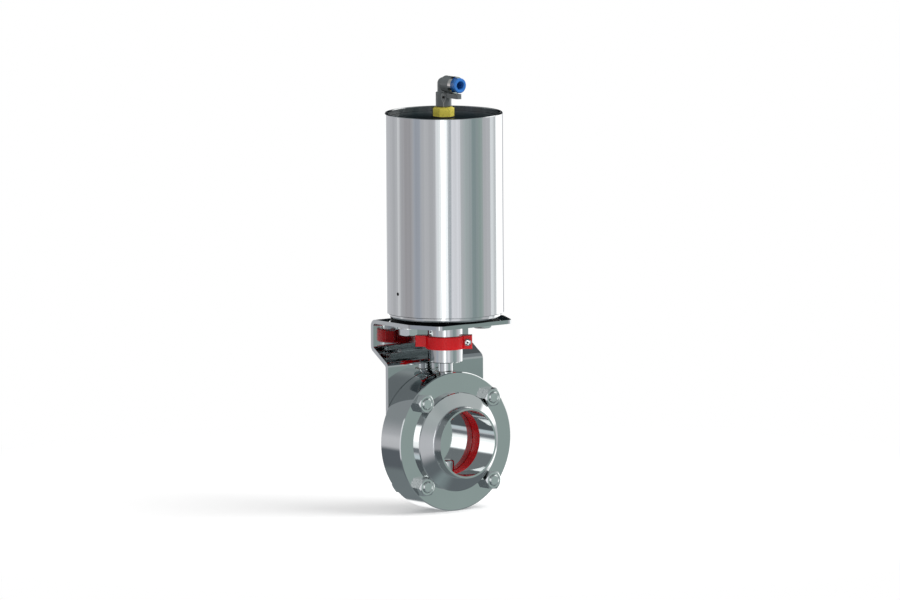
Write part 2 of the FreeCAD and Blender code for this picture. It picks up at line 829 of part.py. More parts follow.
def elbow_body():
    """Swivel elbow: upright socket, domed top, barrel along the front and a rounded bar under it."""
    upright = turned_on_z([
        (0, elbow_bottom),
        (elbow_r, elbow_bottom, -edge_break),
        (elbow_r, elbow_shoulder, -edge_break),
        (elbow_top_r, elbow_shoulder),
        (elbow_top_r, barrel_z),
        (0, barrel_z),
    ])
    dome = Part.makeSphere(elbow_top_r, Vec(0, 0, barrel_z))
    barrel = Part.Face(rounded_outline([
        (0, -barrel_face),
        (barrel_r, -barrel_face),
        (barrel_r, -barrel_back, -edge_break),
        (0, -barrel_back),
    ])).revolve(Vec(0, 0, 0), AXIS_Y, 360).translated(Vec(0, 0, barrel_z))
    bar_top = barrel_z - barrel_r - bar_drop
    bar_plan = [
        (-bar_width / 2, 0),
        (-bar_width / 2, -bar_reach, bar_round),
        (bar_width / 2, -bar_reach, bar_round),
        (bar_width / 2, 0),
    ]
    bar = Part.Face(rounded_outline(bar_plan)).extrude(AXIS_Z * bar_height)
    body = upright.fuse(dome).fuse(barrel).fuse(bar.translated(Vec(0, 0, bar_top - bar_height)))
    web = Part.makeBox(bar_width / 2, barrel_back + bar_height, barrel_r, Vec(-bar_width / 4, 0, 0))
    body = body.fuse(web.translated(Vec(0, -elbow_r - barrel_back, bar_top - bar_height / 2)))
    socket_top = elbow_bottom + adaptor_stub_t + moving_gap
    body = body.cut(rod_on_z(adaptor_stub_r + running_gap, elbow_bottom, socket_top))
    body = body.cut(rod_on_z(duct_r, elbow_bottom, barrel_z))
    body = body.cut(rod_on_y(duct_r, -barrel_face, 0, 0, barrel_z))
    body = body.cut(rod_on_y(socket_r, -barrel_face, -barrel_floor, 0, barrel_z))
    angle = math.radians(dimple_angle)
    facing = Vec(math.cos(angle), math.sin(angle), 0)
    start = facing * (elbow_r - dimple_depth) + Vec(0, 0, elbow_shoulder - dimple_drop)
    return one_solid(body.cut(Part.makeCylinder(dimple_r, elbow_r, start, facing)))


def elbow_collar():
    return ring_on_y(collet_r + running_gap, collar_r, -collar_face, -barrel_face, barrel_z)


def release_collet():
    """Push-in release sleeve: it slides into the collar by its throw."""
    outline = [
        (air_tube_r, -collet_tail),
        (collet_r, -collet_tail),
        (collet_r, -collet_back),
        (collet_head_r, -collet_back, -edge_break),
        (collet_head_r, -collet_face, -edge_break),
        (air_tube_r, -collet_face, -edge_break),
    ]
    collet = Part.Face(rounded_outline(outline)).revolve(Vec(0, 0, 0), AXIS_Y, 360)
    return collet.translated(Vec(0, 0, barrel_z))


def tube_grip_ring():
    return ring_on_y(air_tube_r, socket_r, -grip_y, -grip_y + grip_t, barrel_z)


def tube_seal():
    return ring_on_y(air_tube_r, socket_r, -barrel_floor - tube_seal_t, -barrel_floor, barrel_z)


def save(name, shapes):
    shape = Part.makeCompound(shapes) if isinstance(shapes, list) else shapes
    shape.exportStep("parts/" + name + ".step")


os.makedirs("parts", exist_ok=True)
save("front_body_flange", body_flange(True))
save("rear_body_flange", body_flange(False))
save("seat_ring", seat_ring())
save("butterfly_disc", butterfly_disc())
save("valve_stem", valve_stem())
save("upper_stem_bush", upper_stem_bush())
save("lower_stem_bush", lower_stem_bush())
save("upper_body_bolts", body_bolts(True))
save("lower_body_bolts", body_bolts(False))
save("body_nuts", body_nuts())
save("mounting_bracket", mounting_bracket())
save("bracket_bolts", bracket_bolts())
save("bracket_washers", bracket_washers())
save("drive_coupling", drive_coupling())
save("coupling_grub_screw", coupling_grub_screw())
save("indicator_ring", indicator_ring())
save("indicator_screw", indicator_screw())
save("actuator_tube", actuator_tube())
save("lower_cap", lower_cap())
save("upper_cap", upper_cap())
save("lower_lock_ring", lock_ring(lower_lock_z()))
save("upper_lock_ring", lock_ring(upper_lock_z()))
save("cap_o_rings", cap_o_rings())
save("shaft_bush", shaft_bush())
save("thrust_washer", thrust_washer())
save("guide_sleeve", guide_sleeve())
save("output_shaft", output_shaft())
save("piston", piston())
save("piston_seal", piston_seal())
save("piston_guide_band", piston_guide_band())
save("cross_pin", cross_pin())
save("return_spring", return_spring())
save("port_seal", port_seal())
save("brass_adaptor", brass_adaptor())
save("elbow_body", elbow_body())
save("elbow_collar", elbow_collar())
save("release_collet", release_collet())
save("tube_grip_ring", tube_grip_ring())
save("tube_seal", tube_seal())
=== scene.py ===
"""Looks of the pneumatic butterfly valve, over the solids that part.py makes.

Sizes named in millimetres are brought into Blender's metres with MM. Angles are in degrees.
"""
import math

import bpy
from mathutils import Matrix, Vector


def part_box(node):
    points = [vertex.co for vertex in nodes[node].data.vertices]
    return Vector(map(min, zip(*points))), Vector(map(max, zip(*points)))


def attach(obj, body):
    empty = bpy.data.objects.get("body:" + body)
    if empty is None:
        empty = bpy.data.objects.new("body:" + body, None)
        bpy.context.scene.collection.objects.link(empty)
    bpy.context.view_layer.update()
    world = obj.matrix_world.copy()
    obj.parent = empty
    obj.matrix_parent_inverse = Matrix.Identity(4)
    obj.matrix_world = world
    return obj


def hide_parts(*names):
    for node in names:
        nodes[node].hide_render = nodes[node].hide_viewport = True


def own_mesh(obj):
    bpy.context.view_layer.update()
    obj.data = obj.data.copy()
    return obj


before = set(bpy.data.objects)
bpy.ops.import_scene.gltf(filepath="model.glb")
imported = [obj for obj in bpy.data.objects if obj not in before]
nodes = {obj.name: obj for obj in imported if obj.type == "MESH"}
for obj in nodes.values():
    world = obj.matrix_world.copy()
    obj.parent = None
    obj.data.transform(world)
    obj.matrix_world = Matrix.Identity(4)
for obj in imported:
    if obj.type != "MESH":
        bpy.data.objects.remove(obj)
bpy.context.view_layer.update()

MM = 0.001
AXIS_Z = Vector((0, 0, 1))
SHARP_DEGREES = 35
ROUND_SEGMENTS = 40
SMALL_SEGMENTS = 24

# Clamp screw of the indicator ring, in millimetres, with its seat before the ring is turned;
# the floor of its cross is (radius, height) points
RING_ANGLE = -39.0
SCREW_SEAT = (17.0, -4.2, 126.9)
SCREW_R = 1.5
SCREW_LENGTH = 8.4
THREAD_PITCH = 0.5
THREAD_DEPTH = 0.22
HEAD_R = 2.7
HEAD_T = 1.8
HEAD_CHAMFER = 0.1
HEAD_SIDE_SHARE = 0.55
DOME_R = 0.98 * HEAD_R
DOME_STEPS = 6
CROSS_ANGLES = (20, 110)
CROSS_LENGTH = 1.25 * HEAD_R
CROSS_WIDTH = 0.75
CROSS_DEPTH = 0.85
CROSS_FLOOR = ((0.8, -0.06), (0.95, 0.0), (0.6, 0.05), (0.2, 0.06))

# Front of the elbow's upright, in millimetres; the pin is (radius, height) points, and half of the
# rib is (across, height) points
UPRIGHT_R = 6.0
MARK_ANGLE = -127.5
PIN_SEAT_R = 4.8
PIN_Z = 312.6
PIN_PROFILE = ((0.9, 0.0), (0.9, 0.25), (0.7, 0.4), (0.3, 0.45))
RIB_R = 0.19
RIB_HALF = ((0.9, 315.6), (1.75, 313.0), (1.5, 311.2), (0.15, 308.6), (0.12, 305.4))

# Return spring of square wire, in millimetres
SPRING_WIRE = 5.2
SPRING_TURNS = 7
STEPS_PER_TURN = 40

# Camera at the photograph's place, in degrees, metres and pixels of the 900 pixel wide frame
CAMERA_AZIMUTH = -37.48
CAMERA_ELEVATION = 7.18
CAMERA_ROLL = -0.37
CAMERA_DISTANCE = 21.78
CAMERA_FOCAL_PX = 28974
CAMERA_CLIP = (0.1, 200)
FRAME_WIDTH_PX = 900
SENSOR_MM = 36.0
TARGET_RIGHT = 0.00385
TARGET_UP = 0.15844

# Soft lamp to the right, in degrees from the camera's side, metres and watts
KEY_AZIMUTH = 81
KEY_ELEVATION = 44
KEY_DISTANCE = 1.6
KEY_SIZE = 1.4
KEY_WATTS = 23
KEY_TARGET_Z = 0.15

# Floor, in metres: lit paper round the valve, which fades to plain white before its edge
FLOOR_R = 2.0
FLOOR_SIDES = 96
FLOOR_DROP = 0.0002
FLOOR_FADE = (0.22, 0.5)
PAPER = 0.8
PAPER_GLOW = 0.22

# Light of the surroundings on matt surfaces, in the metal, and on the backdrop
ROOM_LIGHT = 0.75
STUDIO_STRENGTH = 1.5
BACKDROP = 1.0

# Noise in the materials: scales are per metre, depths are in metres, and gloss and mottle are
# shares of a material's own roughness and colour
NOISE_ENDS = (0.3, 0.7)
CLOUD_SCALE = 45.0
CLOUD_DETAIL = 3.0
MOTTLE = 0.03
GLOSS_LOW = 0.85
GLOSS_HIGH = 1.15
GRAIN_DEPTH = 0.0002
TURNING_SCALE = 2600.0
TURNING_DEPTH = 0.00005
TURNING_STRENGTH = 0.01
TURNED_CLOUD_SCALE = 30.0
TURNED_GLOSS_HIGH = 1.2
FLUTE_SCALE = 300.0
FLUTE_STRETCH = (1, 1, 0.003)

# The lower cap's boss, coloured near black as painted shade of the gap under the cap's ring, in
# millimetres and linear light
BOSS_T = 1.8
BOSS_SHADE = (0.004, 0.005, 0.006)
BOSS_SHADE_ROUGHNESS = 0.6


def add_object(name, data):
    added = bpy.data.objects.new(name, data)
    bpy.context.scene.collection.objects.link(added)
    return added


def way_to(azimuth, elevation):
    """Direction from the valve; azimuth counts from the front, to the right."""
    angle = math.radians(azimuth)
    rise = math.radians(elevation)
    return Vector((
        math.sin(angle) * math.cos(rise),
        -math.cos(angle) * math.cos(rise),
        math.sin(rise),
    ))


def add_camera():
    azimuth = math.radians(CAMERA_AZIMUTH)
    roll = math.radians(CAMERA_ROLL)
    back = way_to(CAMERA_AZIMUTH, CAMERA_ELEVATION)
    right = Vector((math.cos(azimuth), math.sin(azimuth), 0))
    up = back.cross(right)
    turned_right = right * math.cos(roll) + up * math.sin(roll)
    turned_up = up * math.cos(roll) - right * math.sin(roll)
    place = right * TARGET_RIGHT + AXIS_Z * TARGET_UP + back * CAMERA_DISTANCE
    data = bpy.data.cameras.new("camera")
    data.sensor_width = SENSOR_MM
    data.lens = CAMERA_FOCAL_PX / FRAME_WIDTH_PX * SENSOR_MM
    data.clip_start, data.clip_end = CAMERA_CLIP
    camera = add_object("camera", data)
    rotation = Matrix((turned_right, turned_up, back)).transposed()
    camera.matrix_world = Matrix.Translation(place) @ rotation.to_4x4()
    bpy.context.scene.camera = camera


def grey(level):
    return (level, level, level, 1)


def linear(level):
    """Linear light of an sRGB level from 0 to 1."""
    return level / 12.92 if level <= 0.04045 else ((level + 0.055) / 1.055) ** 2.4


def tone(red, green, blue):
    return (linear(red), linear(green), linear(blue))


def scaled(value, share):
    """A level or a colour times a share, at most 1."""
    if isinstance(value, (int, float)):
        return min(1.0, value * share)
    return tuple(min(1.0, part * share) for part in value)


class Nodes:
    """Short way to write a node tree. Its calls take and return sockets, apart from add."""

    def __init__(self, tree):
        self.tree = tree
        tree.nodes.clear()

    def add(self, kind, **values):
        """New node with its properties and sockets set; _ stands for a space in a socket's name."""
        node = self.tree.nodes.new(kind)
        for name, value in values.items():
            if hasattr(node, name):
                setattr(node, name, value)
            else:
                node.inputs[name.replace("_", " ")].default_value = value
        return node

    def link(self, source, target):
        self.tree.links.new(source, target)

    def math(self, operation, first, second=None):
        node = self.add("ShaderNodeMath", operation=operation)
        for index, value in enumerate((first, second)):
            if value is None:
                continue
            if isinstance(value, (int, float)):
                node.inputs[index].default_value = value
            else:
                self.link(value, node.inputs[index])
        return node.outputs[0]

    def wrap(self, value):
        """Angle brought into -180 to 180 degrees."""
        node = self.add("ShaderNodeMath", operation="WRAP")
        self.link(value, node.inputs[0])
        node.inputs[1].default_value = 180.0
        node.inputs[2].default_value = -180.0
        return node.outputs[0]

    def split(self, vector):
        node = self.add("ShaderNodeSeparateXYZ")
        self.link(vector, node.inputs[0])
        return node.outputs["X"], node.outputs["Y"], node.outputs["Z"]

    def place(self):
        """Place on the object, in metres."""
        return self.add("ShaderNodeTexCoord").outputs["Object"]

    def noise(self, place, scale, detail=2.0):
        node = self.add("ShaderNodeTexNoise", Scale=scale, Detail=detail)
        self.link(place, node.inputs["Vector"])
        return node.outputs["Fac"]

    def fade(self, value, zero_at, one_at):
        """Smooth step from 0 to 1 between two values."""
        node = self.add("ShaderNodeMapRange", interpolation_type="SMOOTHSTEP", clamp=True)
        self.link(value, node.inputs["Value"])
        low, high = sorted((zero_at, one_at))
        node.inputs["From Min"].default_value = low
        node.inputs["From Max"].default_value = high
        node.inputs["To Min"].default_value = 0.0 if zero_at < one_at else 1.0
        node.inputs["To Max"].default_value = 1.0 if zero_at < one_at else 0.0
        return node.outputs["Result"]

    def vary(self, noise, value, low, high):
        """A level or colour that goes from low to high times itself, as the noise does."""
        node = self.add("ShaderNodeValToRGB")
        for element, position, share in zip(node.color_ramp.elements, NOISE_ENDS, (low, high)):
            end = scaled(value, share)
            element.position = position
            element.color = grey(end) if isinstance(end, (int, float)) else (*end, 1)
        self.link(noise, node.inputs[0])
        return node.outputs[0]

    def bump(self, height, strength, distance, normal=None):
        node = self.add("ShaderNodeBump", Strength=strength, Distance=distance)
        self.link(height, node.inputs["Height"])
        if normal is not None:
            self.link(normal, node.inputs["Normal"])
        return node.outputs["Normal"]

    def lay_over(self, under, colour, mask):
        """Colour laid over what is under it, where the mask is 1."""
        node = self.add("ShaderNodeMix", data_type="RGBA")
        node.inputs["B"].default_value = colour
        self.link(mask, node.inputs["Factor"])
        self.link(under, node.inputs["A"])
        return node.outputs["Result"]

    def background(self, strength):
        """White surroundings."""
        return self.add("ShaderNodeBackground", Color=grey(1.0), Strength=strength).outputs[0]

    def glow(self, strength):
        """White surface that gives light."""
        return self.add("ShaderNodeEmission", Color=grey(1.0), Strength=strength).outputs[0]

    def blend(self, factor, first, second):
        """Shader that is the first at 0 and the second at 1."""
        node = self.add("ShaderNodeMixShader")
        for source, target in zip((factor, first, second), node.inputs):
            self.link(source, target)
        return node.outputs[0]

    def finish(self, output, shader):
        self.link(shader, self.add(output).inputs["Surface"])


# Stainless steel reflects about two thirds of the light
STEEL = tone(0.83, 0.84, 0.84)
MATERIALS = {}


def new_material(name):
    """Empty material, kept under its name; the tree is returned."""
    MATERIALS[name] = bpy.data.materials.new(name)
    MATERIALS[name].use_nodes = True
    return Nodes(MATERIALS[name].node_tree)


def surface(name, colour, roughness, grain=900.0, bump=0.02, **sockets):
    """Plain surface with faint colour and gloss variation and a fine grain.

    Sockets are further ones of the shader, by name.
    """
    tree = new_material(name)
    shader = tree.add("ShaderNodeBsdfPrincipled", **sockets)
    place = tree.place()
    clouds = tree.noise(place, CLOUD_SCALE, CLOUD_DETAIL)
    fine = tree.noise(place, grain)
    mottled = tree.vary(clouds, colour, 1 - MOTTLE, 1 + MOTTLE)
    tree.link(mottled, shader.inputs["Base Color"])
    tree.link(tree.vary(fine, roughness, GLOSS_LOW, GLOSS_HIGH), shader.inputs["Roughness"])
    if bump:
        tree.link(tree.bump(fine, bump, GRAIN_DEPTH), shader.inputs["Normal"])
    tree.finish("ShaderNodeOutputMaterial", shader.outputs["BSDF"])
    return tree, shader


def metal(name, colour, roughness, **values):
    return surface(name, colour, roughness, Metallic=1.0, **values)


def polished_metal(name, colour, roughness):
    return metal(name, colour, roughness, bump=0.0)


def turned_steel(name, roughness, centre=None, mottle=0.02, flute_depth=0.0):
    """Steel with turning marks: rings round the pipe axis at a height, or round the stem axis.

    Flutes are the faint waves that polishing leaves along a drawn tube.
    """
    tree = new_material(name)
    shader = tree.add("ShaderNodeBsdfPrincipled", Metallic=1.0)
    place = tree.place()
    x, y, z = tree.split(place)
    if centre is None:
        across, along = y, z
    else:
        across, along = tree.math("SUBTRACT", z, centre), y
    x_square = tree.math("MULTIPLY", x, x)
    across_square = tree.math("MULTIPLY", across, across)
    mark = tree.add("ShaderNodeCombineXYZ")
    tree.link(tree.math("SQRT", tree.math("ADD", x_square, across_square)), mark.inputs[0])
    tree.link(along, mark.inputs[1])
    lines = tree.noise(mark.outputs[0], TURNING_SCALE)
    relief = tree.bump(lines, TURNING_STRENGTH, TURNING_DEPTH)
    if flute_depth:
        stretched = tree.add("ShaderNodeVectorMath", operation="MULTIPLY")
        stretched.inputs[1].default_value = FLUTE_STRETCH
        tree.link(place, stretched.inputs[0])
        clouds = tree.noise(stretched.outputs[0], FLUTE_SCALE)
        relief = tree.bump(clouds, 1.0, flute_depth, relief)
    else:
        clouds = tree.noise(place, TURNED_CLOUD_SCALE)
    gloss = tree.vary(lines, roughness, GLOSS_LOW, TURNED_GLOSS_HIGH)
    tree.link(tree.vary(clouds, STEEL, 1 - mottle, 1 + mottle), shader.inputs["Base Color"])
    tree.link(gloss, shader.inputs["Roughness"])
    tree.link(relief, shader.inputs["Normal"])
    tree.finish("ShaderNodeOutputMaterial", shader.outputs["BSDF"])


def seated_cap(name, roughness, height):
    """Polished ring above a boss coloured near black as painted shade, which ends at the given
    height.
    """
    tree, shader = polished_metal(name, STEEL, roughness)
    below = tree.math("LESS_THAN", tree.split(tree.place())[2], height)
    # Near-black colour and rougher gloss below the height: painted shade of the gap under the ring
    boss_shade = {"Base Color": (*BOSS_SHADE, 1), "Roughness": grey(BOSS_SHADE_ROUGHNESS)}
    for socket, value in boss_shade.items():
        polished = shader.inputs[socket].links[0].from_socket
        tree.link(tree.lay_over(polished, value, below), shader.inputs[socket])


def make_materials():
    pipe_z = sum(corner[2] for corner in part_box("front_body_flange")) / 2
    boss_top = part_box("lower_cap")[0][2] + BOSS_T * MM
    turned_steel("polished_flange", roughness=0.055, centre=pipe_z)
    turned_steel("polished_tube", roughness=0.07, mottle=0.07, flute_depth=0.0001)
    turned_steel("polished_round", roughness=0.07)
    seated_cap("base_cap", roughness=0.08, height=boss_top)
    polished_metal("polished_disc", STEEL, roughness=0.05)
    polished_metal("nickel", tone(0.9, 0.88, 0.86), roughness=0.06)
    metal("sheet", tone(0.76, 0.775, 0.78), roughness=0.06, grain=1500.0, bump=0.005)
    metal("fastener", tone(0.87, 0.885, 0.88), roughness=0.16, grain=2200.0, bump=0.05)
    metal("spring", tone(0.6, 0.6, 0.62), roughness=0.35)
    metal("aluminium", tone(0.85, 0.85, 0.86), roughness=0.3)
    surface("brass", tone(1.0, 0.93, 0.4), roughness=0.3, Metallic=0.5, bump=0.01)
    surface("red_silicone", tone(0.82, 0.03, 0.07), roughness=0.2, Specular_IOR_Level=0.3)
    surface("red_plastic", tone(0.86, 0.05, 0.09), roughness=0.3, Specular_IOR_Level=0.3)
    surface("blue_plastic", tone(0.17, 0.42, 0.71), roughness=0.25, Specular_IOR_Level=0.4)
    surface("grey_plastic", tone(0.38, 0.4, 0.405), roughness=0.16, bump=0.04)
    surface(
        "black_cap", tone(0.05, 0.095, 0.11), roughness=0.4, bump=0.05, Specular_IOR_Level=0.05
    )
    surface("bearing", tone(0.93, 0.92, 0.88), roughness=0.45)
    surface("rubber", tone(0.08, 0.08, 0.085), roughness=0.55, bump=0.1)
    # Paler grey for the elbow's moulded rib: painted highlight along its crest
    surface("painted_rib_highlight", tone(0.62, 0.63, 0.63), roughness=0.25)
    # Near-black colour for the screw's cross recess and the elbow pin's hole: painted shade in
    # recesses
    surface("painted_recess_shade", tone(0.03, 0.03, 0.035), roughness=0.7, Specular_IOR_Level=0.2)


NODE_MATERIALS = {
    "polished_flange": ["front_body_flange", "rear_body_flange"],
    "polished_tube": ["actuator_tube"],
    "polished_round": ["valve_stem", "drive_coupling", "output_shaft", "cross_pin"],
    "polished_disc": ["butterfly_disc"],
    "sheet": ["mounting_bracket", "guide_sleeve"],
    "fastener": [
        "upper_body_bolts", "lower_body_bolts", "body_nuts", "bracket_bolts", "bracket_washers",
        "coupling_grub_screw", "indicator_screw", "lower_lock_ring", "upper_lock_ring",
    ],
    "spring": ["return_spring", "tube_grip_ring"],
    "base_cap": ["lower_cap"],
    "aluminium": ["piston"],
    "brass": ["brass_adaptor"],
    "nickel": ["elbow_collar"],
    "red_silicone": ["seat_ring"],
    "red_plastic": ["indicator_ring"],
    "blue_plastic": ["release_collet"],
    "grey_plastic": ["elbow_body"],
    "black_cap": ["upper_cap"],
    "bearing": [
        "upper_stem_bush", "lower_stem_bush", "shaft_bush", "thrust_washer", "piston_guide_band",
    ],
    "rubber": ["cap_o_rings", "piston_seal", "port_seal", "tube_seal"],
}


def dress_nodes():
    for name, members in NODE_MATERIALS.items():
        for member in members:
            mesh = nodes[member].data
            mesh.materials.clear()
            mesh.materials.append(MATERIALS[name])


def finish_piece(piece, material, body):
    """Smooth shading, a material and a body to ride on."""
    piece.data.materials.append(MATERIALS[material])
    if piece.type == "MESH":
        piece.data.polygons.foreach_set("use_smooth", [True] * len(piece.data.polygons))
        piece.data.set_sharp_from_angle(angle=math.radians(SHARP_DEGREES))
    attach(piece, body)


def add_mesh(name, verts, faces):
    mesh = bpy.data.meshes.new(name)
    mesh.from_pydata(verts, [], faces)
    mesh.update()
    return add_object(name, mesh)


def lathe(name, profile, place, segments):
    """Turned piece: (radius, height) points round local Z, in millimetres, closed at both ends."""
    verts = []
    faces = []
    for radius, height in profile:
        for step in range(segments):
            angle = 2 * math.pi * step / segments
            verts.append((
                radius * math.cos(angle) * MM,
                radius * math.sin(angle) * MM,
                height * MM,
            ))
    for row in range(len(profile) - 1):
        for step in range(segments):
            after = (step + 1) % segments
            low = row * segments
            high = low + segments
            faces.append((low + step, low + after, high + after, high + step))
    faces.append(tuple(reversed(range(segments))))
    faces.append(tuple(range(len(verts) - segments, len(verts))))
    piece = add_mesh(name, verts, faces)
    piece.matrix_world = place
    return piece


def cut_with(piece, cutters):
    """Take the cutters out of the piece and leave plain mesh behind."""
    for cutter in cutters:
        change = piece.modifiers.new("cut", "BOOLEAN")
        change.object = cutter
        change.solver = "EXACT"
    bpy.context.view_layer.update()
    changed = piece.evaluated_get(bpy.context.evaluated_depsgraph_get())
    result = bpy.data.meshes.new_from_object(changed)
    piece.modifiers.clear()
    piece.data = result
    for cutter in cutters:
        bpy.data.objects.remove(cutter, do_unlink=True)


def bar(name, size, place):
    """Block of a size in millimetres, centred on its place."""
    bpy.ops.mesh.primitive_cube_add(size=1)
    cutter = bpy.context.object
    cutter.name = name
    cutter.matrix_world = place @ Matrix.Diagonal((*[s * MM for s in size], 1))
    return cutter


def screw_profile():
    """Threaded shank below its seat, and a pan head above it."""
    root = SCREW_R - THREAD_DEPTH
    side = HEAD_T * HEAD_SIDE_SHARE
    profile = []
    depth = -SCREW_LENGTH
    while depth < -THREAD_PITCH:
        profile += [(root, depth), (SCREW_R, depth + THREAD_PITCH / 2)]
        depth += THREAD_PITCH
    profile += [(root, 0), (HEAD_R - HEAD_CHAMFER, 0), (HEAD_R, HEAD_CHAMFER), (HEAD_R, side)]
    for step in range(1, DOME_STEPS):
        angle = math.radians(90 * step / DOME_STEPS)
        profile.append((DOME_R * math.cos(angle), side + (HEAD_T - side) * math.sin(angle)))
    return profile


def add_indicator_screw():
    """Cross-recessed pan head and threaded shank of the ring's clamp screw."""
    turn = Matrix.Rotation(math.radians(RING_ANGLE), 4, "Z")
    outwards = Matrix.Rotation(math.radians(90), 4, "X")
    seat = turn @ Matrix.Translation(Vector(SCREW_SEAT) * MM) @ outwards
    screw = lathe("clamp_screw", screw_profile(), seat, ROUND_SEGMENTS)
    blades = []
    for index, degrees in enumerate(CROSS_ANGLES):
        spin = Matrix.Rotation(math.radians(degrees), 4, "Z")
        lift = Matrix.Translation((0, 0, HEAD_T * MM))
        size = (CROSS_LENGTH, CROSS_WIDTH, 2 * CROSS_DEPTH)
        blades.append(bar("blade_%d" % index, size, seat @ lift @ spin))
    cut_with(screw, blades)
    finish_piece(screw, "fastener", "drive_train")
    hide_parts("indicator_screw")
    # The floor of the cross recess is coloured near black as painted shade in the recess
    floor_place = seat @ Matrix.Translation((0, 0, (HEAD_T - CROSS_DEPTH) * MM))
    recess = lathe("screw_recess", CROSS_FLOOR, floor_place, SMALL_SEGMENTS)
    finish_piece(recess, "painted_recess_shade", "drive_train")


def add_return_spring():
    """Square-wire coil with flat ground ends."""
    low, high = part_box("return_spring")
    outer = high[0]
    inner = outer - SPRING_WIRE * MM
    bottom, top = low[2], high[2]
    steps = SPRING_TURNS * STEPS_PER_TURN
    verts = []
    for step in range(steps + 1):
        angle = 2 * math.pi * step / STEPS_PER_TURN
        middle = bottom + (top - bottom) * step / steps
        for radius, side in ((inner, -1), (outer, -1), (outer, 1), (inner, 1)):
            height = min(max(middle + side * SPRING_WIRE * MM / 2, bottom), top)
            verts.append((radius * math.cos(angle), radius * math.sin(angle), height))
    faces = [(0, 1, 2, 3), tuple(reversed(range(4 * steps, 4 * steps + 4)))]
    for step in range(steps):
        for corner in range(4):
            first = 4 * step + corner
            second = 4 * step + (corner + 1) % 4
            faces.append((first, first + 4, second + 4, second))
    coil = add_mesh("return_spring_coil", verts, faces)
    finish_piece(coil, "spring", "housing")
    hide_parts("return_spring")
    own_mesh(coil)


def on_upright(across, height):
    """Point on the skin of the elbow's upright, across its front and at a height in millimetres."""
    angle = math.radians(MARK_ANGLE) + across / UPRIGHT_R
    radius = UPRIGHT_R * MM
    return (radius * math.cos(angle), radius * math.sin(angle), height * MM)


def add_elbow_details():
    """Moulded rib that parts round the retaining pin, coloured paler than the elbow as a painted
    highlight, and the pin sunk in its hole.
    """
    curve = bpy.data.curves.new("elbow_rib", "CURVE")
    curve.dimensions = "3D"
    curve.bevel_depth = RIB_R * MM
    curve.bevel_resolution = 1
    for side in (-1, 1):
        spline = curve.splines.new("POLY")
        spline.points.add(len(RIB_HALF) - 1)
        for point, (across, height) in zip(spline.points, RIB_HALF):
            point.co = (*on_upright(side * across, height), 1)
    rib = add_object("elbow_rib", curve)
    # The rib is coloured paler than the elbow as a painted highlight
    finish_piece(rib, "painted_rib_highlight", "elbow")
    angle = math.radians(MARK_ANGLE)
    out = Vector((math.cos(angle), math.sin(angle), 0))
    seat = Matrix.Translation((out * PIN_SEAT_R + AXIS_Z * PIN_Z) * MM)
    outwards = out.to_track_quat("Z", "Y").to_matrix().to_4x4()
    # The pin is coloured near black as painted shade of the hole it sits in
    pin = lathe("elbow_pin", PIN_PROFILE, seat @ outwards, SMALL_SEGMENTS)
    finish_piece(pin, "painted_recess_shade", "elbow")


# Studio seen in the metal: panels laid over each other, with angles in degrees from the camera's
# own side. Each has its azimuth and half width, its lowest and highest elevation, its softness
# across and up, and its level as steel shows it.
WALL = tone(0.67, 0.67, 0.685)
PANELS = {
    "dark_floor": (0, 180, -90, -20, 10, 12, tone(0.36, 0.385, 0.4)),
    "near_floor": (0, 180, -90, -48, 10, 16, tone(0.44, 0.47, 0.48)),
    "left_near_floor": (-125, 40, -90, -28, 30, 8, tone(0.41, 0.44, 0.45)),
    "left_floor": (-115, 45, -28, -10, 20, 5, tone(0.33, 0.35, 0.37)),
    "high_wall": (0, 180, 10, 90, 10, 22, tone(0.49, 0.51, 0.52)),
    "left_wall": (-77, 14, -13, 60, 22, 6, tone(0.58, 0.572, 0.585)),
    "blue_wall": (-54, 8, -13, 60, 10, 6, tone(0.59, 0.605, 0.64)),
    "left_streak": (-101, 3, -9, 3, 5, 5, tone(0.77, 0.77, 0.78)),
    "right_wall": (45, 8, -13, 20, 16, 8, tone(0.61, 0.64, 0.645)),
    "green_wall": (75, 7, -14, 12, 10, 10, tone(0.53, 0.58, 0.57)),
    "right_high": (84, 42, 6, 30, 40, 12, tone(0.65, 0.67, 0.67)),
    "dark_flag": (61, 9, -40, 24, 14, 10, tone(0.49, 0.54, 0.545)),
    "front_light": (7, 24, -22, 21, 9, 6, tone(0.8, 0.8, 0.82)),
    "strip_glow": (-9, 5, -13, 25, 7, 4, tone(0.86, 0.87, 0.88)),
    "strip_light": (-3, 4, -13, 25, 3, 3, tone(1.15, 1.15, 1.15)),
    "strip_tail": (5, 4, -10, 0, 2, 3, tone(0.93, 0.94, 0.95)),
    "window": (1, 7, -2, 20, 3, 4, tone(1.25, 1.25, 1.25)),
    "window_sill": (1.3, 2.6, -18, -11, 1.6, 3, tone(0.5, 0.52, 0.54)),
    "strip_edge": (10.5, 2.4, -10, -4, 1.6, 3, tone(0.6, 0.62, 0.64)),
    "low_light": (5, 5, -26, -20, 4, 3, tone(0.84, 0.88, 0.9)),
    "back_light_right": (139, 18, -16, 45, 12, 10, tone(1.05, 1.05, 1.05)),
    "rim_light": (112.5, 8.5, -22, 16, 3, 5, tone(1.05, 1.05, 1.05)),
    "rim_gap": (108.5, 5.5, -12, -1, 3, 3, tone(0.82, 0.83, 0.84)),
    "rim_shade": (118, 4.5, -12, -1, 3, 3, tone(0.7, 0.71, 0.72)),
    "back_light_left": (-166, 12, -30, 2, 12, 4, tone(0.95, 0.95, 0.95)),
    "dark_back": (180, 34, 3, 60, 14, 4, tone(0.06, 0.08, 0.09)),
    "ceiling": (0, 180, 64, 90, 10, 14, tone(0.3, 0.32, 0.33)),
}


